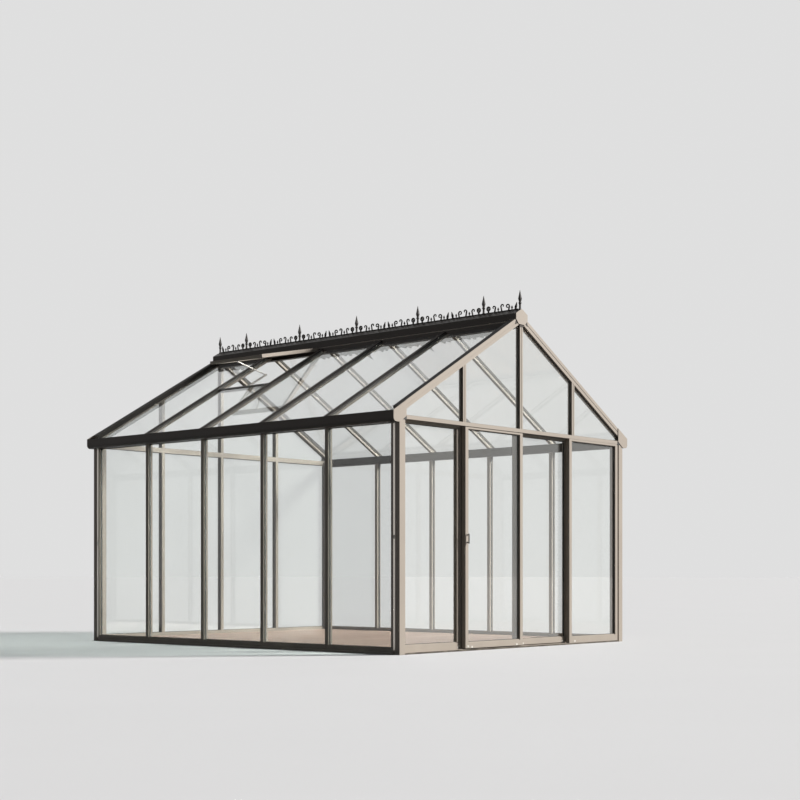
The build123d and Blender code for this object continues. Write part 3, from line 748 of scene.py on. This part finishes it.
@dataclass
class Seals(Assembly):
    """The rubber strips between the glass and the bars."""

    depth: float = 0.005
    outer_depth: float = 0.01
    rebate: float = 0.01
    rafter_under: float = 0.042
    spare: float = 0.05
    ridge_gap: float = 0.094
    outer_foot: float = -0.028
    inner_foot: float = 0.06
    strip_edge: float = 0.0015

    def wall(self, along: Point, glass: Point, bars: Point, ends: Point, head: float) -> Pieces:
        """The rings of one wall's panes, outside and inside.

        Args:
            along: The direction of the wall, with the room on the right.
            glass: A point in the middle of the glass, at 0 along the wall and at the rings' foot.
            bars: Where the wall's bars stand along it.
            ends: Where its first pane begins and its last one ends.
            head: Height of the panes' upper edge.

        Returns:
            The rings.
        """
        lines = self.lines
        rings = []
        for half, depth in ((lines.bar_half, -self.outer_depth), (lines.inner_half, self.depth)):
            starts = [ends[0]] + [bar + half for bar in bars]
            stops = [bar - half for bar in bars] + [ends[1]]
            rings += [
                seal_ring(b - a, head - lines.base_top, depth, Vector(glass) + Vector(along) * a, along)
                for a, b in zip(starts, stops)
            ]
        return rings

    def gable_top(self, glass: float, depth: float, half: float) -> Pieces:
        """The rings of a gable's left half above its tie beam, on one face of the glass.

        Args:
            glass: Middle of the glass along Y.
            depth: The rings' thickness, below 0 on the rear face.
            half: Half the width of the bars beside them.

        Returns:
            The rings.
        """
        lines, under = self.lines, self.rafter_under
        foot, normal = lines.tie_top, (-math.sin(lines.pitch), math.cos(lines.pitch), 0)
        reach = (lines.below_roof(0, under) - foot) / lines.slope
        rings = []
        for start, stop in ((-reach, -lines.bay - half), (-lines.bay + half, -half)):
            height = lines.below_roof(stop, under) - foot + self.spare
            edge = ((0, lines.below_roof(start, under) - foot, 0), normal)
            rings.append(seal_ring(stop - start, height, depth, (start, glass, foot), ALONG_X, cut=edge))
        return rings

    def roof(self) -> Pieces:
        """The strips along the bars of the left slope, over and under the glass.

        Returns:
            The strips.
        """
        lines = self.lines
        head = lines.up_slope(self.ridge_gap)
        over, under = GLASS_HALF - lines.glass_inset, -lines.glass_inset - GLASS_HALF
        strips = []
        for half, foot, low, high in (
            (lines.bar_half, self.outer_foot, over, over + self.outer_depth),
            (lines.inner_half, self.inner_foot, under - self.depth, under),
        ):
            strip = block((foot, 0, low), (head, SEAL_BAND, high), self.strip_edge)
            strips += copies(strip, [
                lines.roof_frame(y) @ Matrix.Translation((0, side, 0))
                for y in lines.side_bars() for side in (half, -half - SEAL_BAND)
            ])
        return strips

    def panel(self, node: str, left: float, right: float, glass: Optional[float] = None) -> Pieces:
        """The rings of one front panel, on both faces of its glass.

        Args:
            node: The panel's glass.
            left: Left edge of the glass that shows.
            right: Right edge of the glass that shows.
            glass: Middle of the glass along Y, or None for the middle of the node.

        Returns:
            The rings.
        """
        low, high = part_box(node)
        foot, head = low[2] + self.rebate, high[2] - self.rebate
        if glass is None:
            glass = (low[1] + high[1]) / 2
        return [
            seal_ring(right - left, head - foot, depth, (left, glass, foot), ALONG_X)
            for depth in (self.depth, -self.depth)
        ]

    def build(self) -> None:
        """Sets all the seals of the walls, the gables and the roof."""
        lines, rubber = self.lines, self.finishes.rubber
        side = self.wall(
            ALONG_Y, (lines.glass_inset - lines.half, 0, lines.base_top), lines.side_bars(),
            (lines.front + lines.corner_depth, lines.rear - lines.corner_depth), lines.eave,
        )
        hand_over(both_sides(side), "side_wall_seals", rubber)
        limit = lines.half - lines.corner_width
        rear = self.wall(
            ALONG_X, (0, lines.rear - lines.glass_inset, lines.base_top), lines.gable_bars(),
            (-limit, limit), lines.tie_foot,
        )
        hand_over(rear, "rear_wall_seals", rubber)
        tops = []
        for plane, sign in ((lines.front + lines.glass_inset, 1), (lines.rear - lines.glass_inset, -1)):
            tops += self.gable_top(plane, sign * self.depth, lines.bar_half)
            tops += self.gable_top(plane, -sign * self.depth, lines.inner_half)
        hand_over(both_sides(tops), "gable_seals", rubber)
        hand_over(both_sides(self.roof()), "roof_seals", rubber)


@dataclass
class FrontPanels(Assembly):
    """What the front's panels and sill wear: seals, brush, housings, pull, cover, and a dark strip of
    painted shadow along the sill's foot.
    """

    stile: float = 0.045
    depth: float = 0.042
    housing_place: float = 0.09
    inner_place: float = 0.112
    housing_size: Point = (0.024, 0.018)
    housing_proud: float = 0.0016
    housing_sunk: float = 0.004
    housing_edge: float = 0.0012
    housing_rise: float = 0.012
    pad_place: float = 0.035
    pad_rise: float = 0.007
    cover_pad: Point = (0.0755, 0.034)
    brush: float = 0.0035
    brush_side: float = 0.012
    brush_end: float = 0.004
    grip: Round = Round(0.005, 0.0015)
    leg: Round = Round(0.0036, 0.0005)
    leg_place: float = 0.012
    rose: Round = Round(0.0085, 0.001, 24)
    rose_depth: float = 0.003
    cover_width: float = 0.06
    cover_groove: float = 0.012
    groove_depth: float = 0.003
    cover_sunk: float = 0.0005
    cover_gap: float = 0.0002
    edge: float = 0.001
    strip_end: float = 0.0005
    strip_foot: float = 0.0004
    strip_proud: float = 0.0012
    strip_height: float = 0.0145

    def __post_init__(self) -> None:
        """Takes up the maker of the panels' seals."""
        self.seals = Seals(self.lines, self.finishes)

    def housing(self, x: float, face: float, foot: float) -> Piece:
        """A roller housing or pad at the foot of a panel.

        Args:
            x: Its middle.
            face: The panel's front face.
            foot: Its lower edge.

        Returns:
            The housing.
        """
        half, height = self.housing_size[0] / 2, self.housing_size[1]
        low = (x - half, face - self.housing_proud, foot)
        return block(low, (x + half, face + self.housing_sunk, foot + height), self.housing_edge, 2)

    def pull(self) -> None:
        """Puts the bow pull with its two roses in place of the plain one."""
        low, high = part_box("left_door_handle")
        x, back = (low[0] + high[0]) / 2, high[1]
        y = low[1] + self.grip.radius
        pieces = [round_bar((x, y, low[2]), (x, y, high[2]), self.grip)]
        for z in (low[2] + self.leg_place, high[2] - self.leg_place):
            pieces.append(round_bar((x, y, z), (x, back, z), self.leg))
            pieces.append(round_bar((x, back - self.rose_depth, z), (x, back, z), self.rose))
        black = self.finishes.black
        bow = hand_over(pieces, "left_door_pull", black, Body.LEFT_DOOR)
        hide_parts("left_door_handle")

    def doors(self) -> None:
        """Dresses the two sliding doors with seals, housings and the brush where they meet."""
        for body, near in ((Body.LEFT_DOOR, self.housing_place), (Body.RIGHT_DOOR, self.inner_place)):
            name = body.value
            low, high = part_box(f"{name}_frame")
            rings = self.seals.panel(f"{name}_glass", low[0] + self.stile, high[0] - self.stile)
            hand_over(rings, f"{name}_seals", self.finishes.rubber, body=body)
            places = (low[0] + near, high[0] - self.housing_place)
            blocks = [self.housing(x, low[1], low[2]) for x in places]
            if body is Body.LEFT_DOOR:
                blocks.append(self.housing(low[0] + self.pad_place, low[1], low[2] + self.pad_rise))
            nylon = self.finishes.nylon
            hand_over(blocks, f"{name}_roller_housings", nylon, body)
        low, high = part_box("left_door_frame")
        brush = block(
            (high[0] - self.stile + self.brush_side, high[1], low[2] + self.brush_end),
            (high[0] - self.brush_side, high[1] + self.brush, high[2] - self.brush_end), self.edge,
        )
        hand_over([brush], "meeting_brush", self.finishes.rubber, body=Body.LEFT_DOOR)

    def mullion_cover(self, left: float, width: float, face: float) -> Pieces:
        """The grooved cover beside the left fixed panel's inner stile, before and behind its glass.

        Args:
            left: The panel's left edge.
            width: Its width.
            face: Its front face.

        Returns:
            The cover's strips.
        """
        low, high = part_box("fixed_panel_glass")
        foot, head = low[2] + self.seals.rebate, high[2] - self.seals.rebate
        end = left + width - self.stile - self.cover_gap
        start, glass = end - self.cover_width, face + self.depth / 2
        skin = GLASS_HALF + self.cover_gap
        near, far = (start + end - self.cover_groove) / 2, (start + end + self.cover_groove) / 2
        strips = []
        for front, back in (
            (face + self.cover_sunk, glass - skin),
            (glass + skin, face + self.depth - self.cover_sunk),
        ):
            for a, b in ((start, near), (far, end)):
                strips.append(block((a, front, foot), (b, back, head), self.edge, 2))
            front, back = front + self.groove_depth, back - self.groove_depth
            strips.append(block((near, front, foot), (far, back, head)))
        return strips

    def fixed(self) -> None:
        """Dresses the two fixed panels, and paints the shadow line along the foot of the sill with a dark
        strip.
        """
        low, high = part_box("fixed_panel_frames")
        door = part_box("left_door_frame")
        width, outer = door[1][0] - door[0][0], door[0][1]
        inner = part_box("right_door_frame")[0][1]
        rings, blocks = [], []
        for left, face, roller in (
            (low[0], inner, low[0] + width - self.housing_place),
            (high[0] - width, outer, high[0] - width + self.housing_place),
        ):
            right, glass = left + width - self.stile, face + self.depth / 2
            rings += self.seals.panel("fixed_panel_glass", left + self.stile, right, glass)
            blocks.append(self.housing(roller, face, low[2] + self.housing_rise))
        hand_over(rings, "fixed_panel_seals", self.finishes.rubber)
        blocks.append(self.housing(low[0] + width - self.cover_pad[0], inner, self.cover_pad[1]))
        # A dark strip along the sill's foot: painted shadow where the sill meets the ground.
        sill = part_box("front_sill")
        front = sill[0][1]
        strip = block(
            (sill[0][0] + self.strip_end, front - self.strip_proud, self.strip_foot),
            (sill[1][0] - self.strip_end, front + self.strip_foot, self.strip_height), self.strip_foot,
        )
        hand_over([strip], "sill_foot_painted_shadow", self.finishes.ridge)
        cover = self.mullion_cover(low[0], width, inner)
        hand_over(cover, "mullion_cover", self.finishes.frame)
        hand_over(blocks, "fixed_panel_housings", self.finishes.nylon)

    def build(self) -> None:
        """Dresses the panels."""
        self.doors()
        self.fixed()
        self.pull()


@dataclass
class Crest(Assembly):
    """What the casting adds to the cresting: bosses in the wheels, rail beads, balls on the spikes."""

    wheel_place: float = 0.0581
    wheel_height: float = 0.05
    boss: Round = Round(0.0052, 0.0018, 12)
    boss_half: float = 0.006
    spoke_half: float = 0.0013
    spoke_depth_half: float = 0.0025
    spoke_edge: float = 0.0005
    hole: float = 0.0112
    bead: Round = Round(0.003, 0.0005, 10)
    bead_place: float = 0.004
    ball: float = 0.0125
    ball_height: float = 0.062
    ball_squash: float = 0.8
    ball_smooth: float = math.radians(40)
    end_spike: float = 0.013

    def boss_at(self, z: float) -> Piece:
        """The boss of a wheel with its four spokes, at the middle of the ridge.

        Args:
            z: Height of the wheel's middle.

        Returns:
            The boss.
        """
        half, deep, hole = self.spoke_half, self.spoke_depth_half, self.hole
        return joined([
            round_bar((-self.boss_half, 0, z), (self.boss_half, 0, z), self.boss),
            block((-deep, -hole, z - half), (deep, hole, z + half), self.spoke_edge),
            block((-deep, -half, z - hole), (deep, half, z + hole), self.spoke_edge),
        ])

    def spike_ball(self) -> Piece:
        """The flattened ball of a spike, at the origin.

        Returns:
            The ball.
        """
        bpy.ops.mesh.primitive_uv_sphere_add(segments=14, ring_count=8, radius=self.ball)
        ball = settle(bpy.context.active_object)
        with editing(ball):
            bpy.ops.transform.resize(value=(1, 1, self.ball_squash), center_override=(0, 0, 0))
        bpy.ops.object.shade_smooth_by_angle(angle=self.ball_smooth)
        return ball

    def build(self) -> None:
        """Adds the castings."""
        lines, cast = self.lines, self.finishes.cast
        low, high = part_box("ridge_cresting")
        top = low[2]
        middles = [y - lines.bay / 2 for y in lines.side_bars()]
        middles.append(middles[-1] + lines.bay)
        wheels = [y + side * self.wheel_place for y in middles for side in (-1, 1)]
        boss = self.boss_at(top + self.wheel_height)
        bosses = copies(boss, [Matrix.Translation((0, y, 0)) for y in wheels])
        hand_over(bosses, "crest_bosses", cast)
        beads = []
        for x in (-self.bead_place, self.bead_place):
            ends = ((x, y, top + self.bead.radius) for y in (low[1], high[1]))
            beads.append(round_bar(*ends, self.bead))
        hand_over(beads, "crest_beads", cast)
        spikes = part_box("ridge_spikes")
        places = middles + [spikes[0][1] + self.end_spike, spikes[1][1] - self.end_spike]
        rise = top + self.ball_height
        balls = copies(self.spike_ball(), [Matrix.Translation((0, y, rise)) for y in places])
        hand_over(balls, "spike_balls", cast)


@dataclass
class RoofCaps(Assembly):
    """The roof's strips: black strips of painted shade over its bars and gable rafters, rubber under its
    bars, and a bead on the ridge's lip.
    """

    groove_half: float = 0.0042
    skin: float = 0.0008
    side_drop: float = 0.0112
    foot: float = -0.0298
    ridge_gap: float = 0.0935
    edge: float = 0.0002
    lap: float = 0.0001
    rafter_foot: float = 0.0005
    rafter_width: float = 0.066
    rafter_upstand: float = 0.024
    rafter_lip: float = 0.003
    glass_gap: float = 0.0025
    bar_depth: float = 0.054
    insert_half: float = 0.0065
    insert_foot: float = 0.09
    insert_gap: float = 0.13
    lip_height: float = 0.008
    bead_width: float = 0.006
    bead_height: float = 0.0095
    bead_sunk: float = 0.0004
    bead_inset: float = 0.0005
    bead_end: float = 0.002
    bead_edge: float = 0.001

    def folded(self, foot: float, near: float, side: float, rise: float, drop: float) -> Piece:
        """A strip that lies on a member and folds down its side, in the slope's own frame.

        Args:
            foot: Where it begins up the slope.
            near: Where it begins across the slope.
            side: The member's side that it folds down.
            rise: Height of the member's top.
            drop: Height of the strip's lower edge.

        Returns:
            The strip.
        """
        lap, outer, top = self.lap, side + self.skin, rise + self.skin
        head = self.lines.up_slope(self.ridge_gap)
        return joined([
            block((foot, near, rise + lap), (head, outer, top), self.edge),
            block((foot + lap, side + lap, drop), (head - lap, outer - lap, top - lap), self.edge),
        ])

    def insert(self) -> Piece:
        """The rubber insert along the underside of a roof bar, in the slope's own frame.

        Returns:
            The insert.
        """
        low = (self.insert_foot, -self.insert_half, -self.bar_depth - self.skin)
        high = (self.lines.up_slope(self.insert_gap), self.insert_half, self.skin - self.bar_depth)
        return block(low, high, self.edge)

    def lip_bead(self) -> Piece:
        """A lighter bead on the ledge of the ridge's lip, on the left: a painted highlight along the
        lip's edge.

        Returns:
            The bead.
        """
        low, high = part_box("ridge_beam")
        ledge = self.lines.below_roof(self.lines.ridge_lip, 0) + self.lip_height
        outer = self.bead_inset - self.lines.ridge_lip
        return block(
            (outer, low[1] + self.bead_end, ledge - self.bead_sunk),
            (outer + self.bead_width, high[1] - self.bead_end, ledge + self.bead_height),
            self.bead_edge, 2,
        )

    def build(self) -> None:
        """Lays the strips on both slopes."""
        lines, finishes = self.lines, self.finishes
        across = Matrix.Scale(-1, 4, ALONG_Y)
        bars = [lines.roof_frame(y) for y in lines.side_bars()]
        gables = [lines.roof_frame(lines.front), lines.roof_frame(lines.rear) @ across]
        # Strips over the gable rafters and the bars, in the black coat of painted shade.
        rafter_shade_strip = self.folded(
            self.rafter_foot, self.rafter_lip, self.rafter_width, self.rafter_upstand,
            self.glass_gap - lines.glass_inset,
        )
        half = self.folded(self.foot, self.groove_half, lines.bar_half, 0.0, -self.side_drop)
        painted_shade_cap = joined([half, copy_of(half, across)])
        for pieces, name, finish in (
            (copies(rafter_shade_strip, gables), "rafter_strips_painted_shade", finishes.painted_shade_cap),
            (copies(painted_shade_cap, bars), "roof_bar_caps_painted_shade", finishes.painted_shade_cap),
            (copies(self.insert(), bars), "roof_bar_inserts", finishes.rubber),
            # The lighter bead on the lip is a painted highlight.
            ([self.lip_bead()], "ridge_lip_painted_highlight", finishes.frame),
        ):
            hand_over(both_sides(pieces), name, finish)


@dataclass
class VentFittings(Assembly):
    """The open vent's hinge sleeves and the seals of its glass."""

    sleeve: float = 0.06
    sleeves: int = 5
    hinge: Round = Round(0.0073, 0.0004, 24)
    hinge_gap: float = 0.0003
    hinge_bead: float = 0.007
    frame_width: float = 0.034
    glass_near: float = 0.045
    glass_far: float = 0.771
    seal_depth: float = 0.004
    fall: float = math.radians(11.2)

    def build(self) -> None:
        """Adds the sleeves and the seals."""
        low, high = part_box("vent_sash")
        lip = self.lines.ridge_lip
        x, z = -(lip + self.hinge_gap + self.hinge_bead), self.lines.below_roof(lip, 0)
        step = (high[1] - low[1] - self.sleeve) / (self.sleeves - 1)
        sleeve = round_bar((x, low[1], z), (x, low[1] + self.sleeve, z), self.hinge)
        row = copies(sleeve, [Matrix.Translation((0, n * step, 0)) for n in range(self.sleeves)])
        hand_over(row, "vent_hinge_sleeves", self.finishes.frame)
        width = high[1] - low[1] - 2 * self.frame_width
        along = Vector((-math.cos(self.fall), 0, -math.sin(self.fall)))
        corner = Vector((x, low[1] + self.frame_width, z)) + along * self.glass_near
        rings = [
            seal_ring(self.glass_far - self.glass_near, width, depth, corner, along, ALONG_Y)
            for depth in (-self.seal_depth, self.seal_depth)
        ]
        hand_over(rings, "vent_seals", self.finishes.rubber)


@dataclass
class Clips(Assembly):
    """The pale strips in the grooves of the corner posts, a painted highlight; their small light keeps;
    and black blocks of painted shade on the tie beam's ends.
    """

    groove_place: float = 0.063
    groove_width: float = 0.022
    groove_depth: float = 0.009
    strip_gap: float = 0.0002
    strip_sunk: float = 0.0006
    strip_foot: float = 0.038
    strip_head: float = 0.002
    keep_height: float = 0.985
    keep_size: Point = (0.015, 0.03)
    keep_depths: Point = (-0.003, 0.004)
    edge: float = 0.0015
    # Place and size of the black blocks on the tie beam's ends: painted shade of a recess there.
    shade_low: Point = (0.005, 1.964)
    shade_high: Point = (0.09, 1.997)
    shade_proud: float = 0.0015
    shade_sunk: float = 0.001
    shade_edge: float = 0.0012

    def on_posts(self, depths: Point, half: float, heights: Point) -> Pieces:
        """A block over the groove of each of the four corner posts.

        Args:
            depths: Its outer and inner face, inwards from the wall's face.
            half: Half its width.
            heights: Its lower and upper end.

        Returns:
            The blocks.
        """
        outer, inner = (depth - self.lines.half for depth in depths)
        return both_sides([
            block((outer, y - half, heights[0]), (inner, y + half, heights[1]), self.edge, 2)
            for y in (self.lines.front + self.groove_place, self.lines.rear - self.groove_place)
        ])

    def build(self) -> None:
        """Adds the strips of painted highlight, the blocks of painted shade and the keeps."""
        lines, finishes = self.lines, self.finishes
        # Pale strips in the posts' grooves: a painted highlight.
        strips = self.on_posts(
            (self.strip_sunk, self.groove_depth - self.strip_gap),
            self.groove_width / 2 - self.strip_gap, (self.strip_foot, lines.eave - self.strip_head),
        )
        hand_over(strips, "post_groove_strips_painted_highlight", finishes.painted_highlight_strip)
        # Black blocks on the tie beam's ends: painted shade of the recess between post and beam.
        low = (self.shade_low[0] - lines.half, lines.front - self.shade_proud, self.shade_low[1])
        high = (self.shade_high[0] - lines.half, lines.front + self.shade_sunk, self.shade_high[1])
        tie_shade_blocks = both_sides([block(low, high, self.shade_edge, 2)])
        hand_over(tie_shade_blocks, "tie_beam_painted_shade", finishes.black)
        width, height = self.keep_size
        heights = (self.keep_height - height / 2, self.keep_height + height / 2)
        keeps = self.on_posts(self.keep_depths, width / 2, heights)
        hand_over(keeps, "post_keeps", finishes.nylon)


class Dressing:
    """Gives every carried-over node its finish."""

    # Nodes that take the near-black coat, which is painted shade on parts that lie in shade.
    PAINTED_SHADE_NODES = ("ridge_beam", "left_gutter", "right_gutter", "vent_crossbar")

    def __init__(self, finishes: Finishes) -> None:
        """Sorts the finishes by the nodes that wear them.

        Args:
            finishes: The materials.
        """
        self.usual = finishes.frame
        self.by_ending = {"glass": finishes.glass, "_runners": finishes.nylon, "_handle": finishes.black}
        self.by_name = dict.fromkeys(self.PAINTED_SHADE_NODES, finishes.ridge) | {
            "ridge_cresting": finishes.cast,
            "ridge_spikes": finishes.cast,
            "vent_opener": finishes.steel,
            "floor": finishes.deck,
        }

    def apply(self) -> None:
        """Sets each node's material slots."""
        for name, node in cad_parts.items():
            finish = self.by_name.get(name, self.usual)
            for ending, other in self.by_ending.items():
                if name.endswith(ending):
                    finish = other
            for slot in node.material_slots:
                slot.material = finish
        LOG.info("dressed %d nodes", len(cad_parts))


# Studio


@dataclass
class Studio:
    """A plain pale floor, a wide soft key light and the camera at the photograph's angle."""

    lines: Lines
    floor_size: float = 600.0
    floor_level: float = -0.0006
    pale: Colour = (0.687, 0.706, 0.737)
    speckle: float = 0.97
    bounce: Colour = (0.06, 0.06, 0.06)
    backdrop: Colour = (0.74, 0.74, 0.74)
    ambient: Colour = (0.058, 0.062, 0.068)
    key_strength: float = 6.6
    key_spread: float = 14.0
    key_side: float = 47.0
    key_rise: float = 27.0
    key_colour: Colour = (1.0, 0.96, 0.91)
    eye: Point = (-10.803, -8.187, 0.671)
    turn: float = -49.39
    lens: float = 66.39
    sensor: float = 36.0
    sight: float = 1000.0
    shift: Point = (-0.0405, 0.218)

    def floor(self) -> None:
        """Lays the floor, which looks pale but sheds little light on the room."""
        bpy.ops.mesh.primitive_plane_add(size=self.floor_size, location=(0, 0, self.floor_level))
        floor = settle(bpy.context.active_object)
        floor.name = "studio_floor"
        net = Network("studio_floor")
        darker = tuple(value * self.speckle for value in self.pale)
        tone = net.blend(net.noise(0.8, 4), self.pale, darker)
        net.set(Base_Color=net.blend(net.seen(), self.bounce, tone), Roughness=0.85)
        floor.data.materials.append(net.material)

    def key(self) -> None:
        """Adds the wide key light, from the front on the right."""
        data = bpy.data.lights.new("key_light", "SUN")
        data.energy = self.key_strength
        data.angle = math.radians(self.key_spread)
        data.color = self.key_colour
        lamp = bpy.data.objects.new("key_light", data)
        side, rise = math.radians(self.key_side), math.radians(self.key_rise)
        level = math.cos(rise)
        towards = Vector((math.sin(side) * level, -math.cos(side) * level, math.sin(rise)))
        lamp.rotation_euler = (-towards).to_track_quat("-Z", "Y").to_euler()
        bpy.context.collection.objects.link(lamp)

    def world(self) -> None:
        """Sets the surroundings, in one tone for what sees them and in another for their light."""
        world = bpy.data.worlds.new("studio")
        world.use_nodes = True
        bpy.context.scene.world = world
        nodes = Nodes(world.node_tree)
        tone = nodes.blend(nodes.seen(), self.ambient, self.backdrop)
        nodes.feed(nodes.tree.nodes["Background"].inputs[0], tone)

    def camera(self) -> None:
        """Sets the camera."""
        data = bpy.data.cameras.new("photo_camera")
        data.sensor_width = self.sensor
        data.lens = self.lens
        data.shift_x, data.shift_y = self.shift
        data.clip_end = self.sight
        camera = bpy.data.objects.new("photo_camera", data)
        camera.location = (self.eye[0], self.lines.front + self.eye[1], self.eye[2])
        camera.rotation_euler = (math.radians(90), 0, math.radians(self.turn))
        bpy.context.collection.objects.link(camera)
        bpy.context.scene.camera = camera

    def build(self) -> None:
        """Sets the studio up."""
        bpy.context.scene.view_settings.view_transform = "Standard"
        self.floor()
        self.world()
        self.key()
        self.camera()


def main() -> None:
    """Builds the room's looks in order."""
    logging.basicConfig(level=logging.INFO, format="%(name)s %(message)s")
    bpy.ops.object.select_all(action="DESELECT")
    lines = Lines()
    finishes = Finishes(lines.row_pitch, lines.row_start)
    Dressing(finishes).apply()
    for kind in (Deck, Seals, FrontPanels, Crest, RoofCaps, VentFittings, Clips):
        kind(lines, finishes).build()
    Studio(lines).build()


if __name__ == "__main__":
    main()
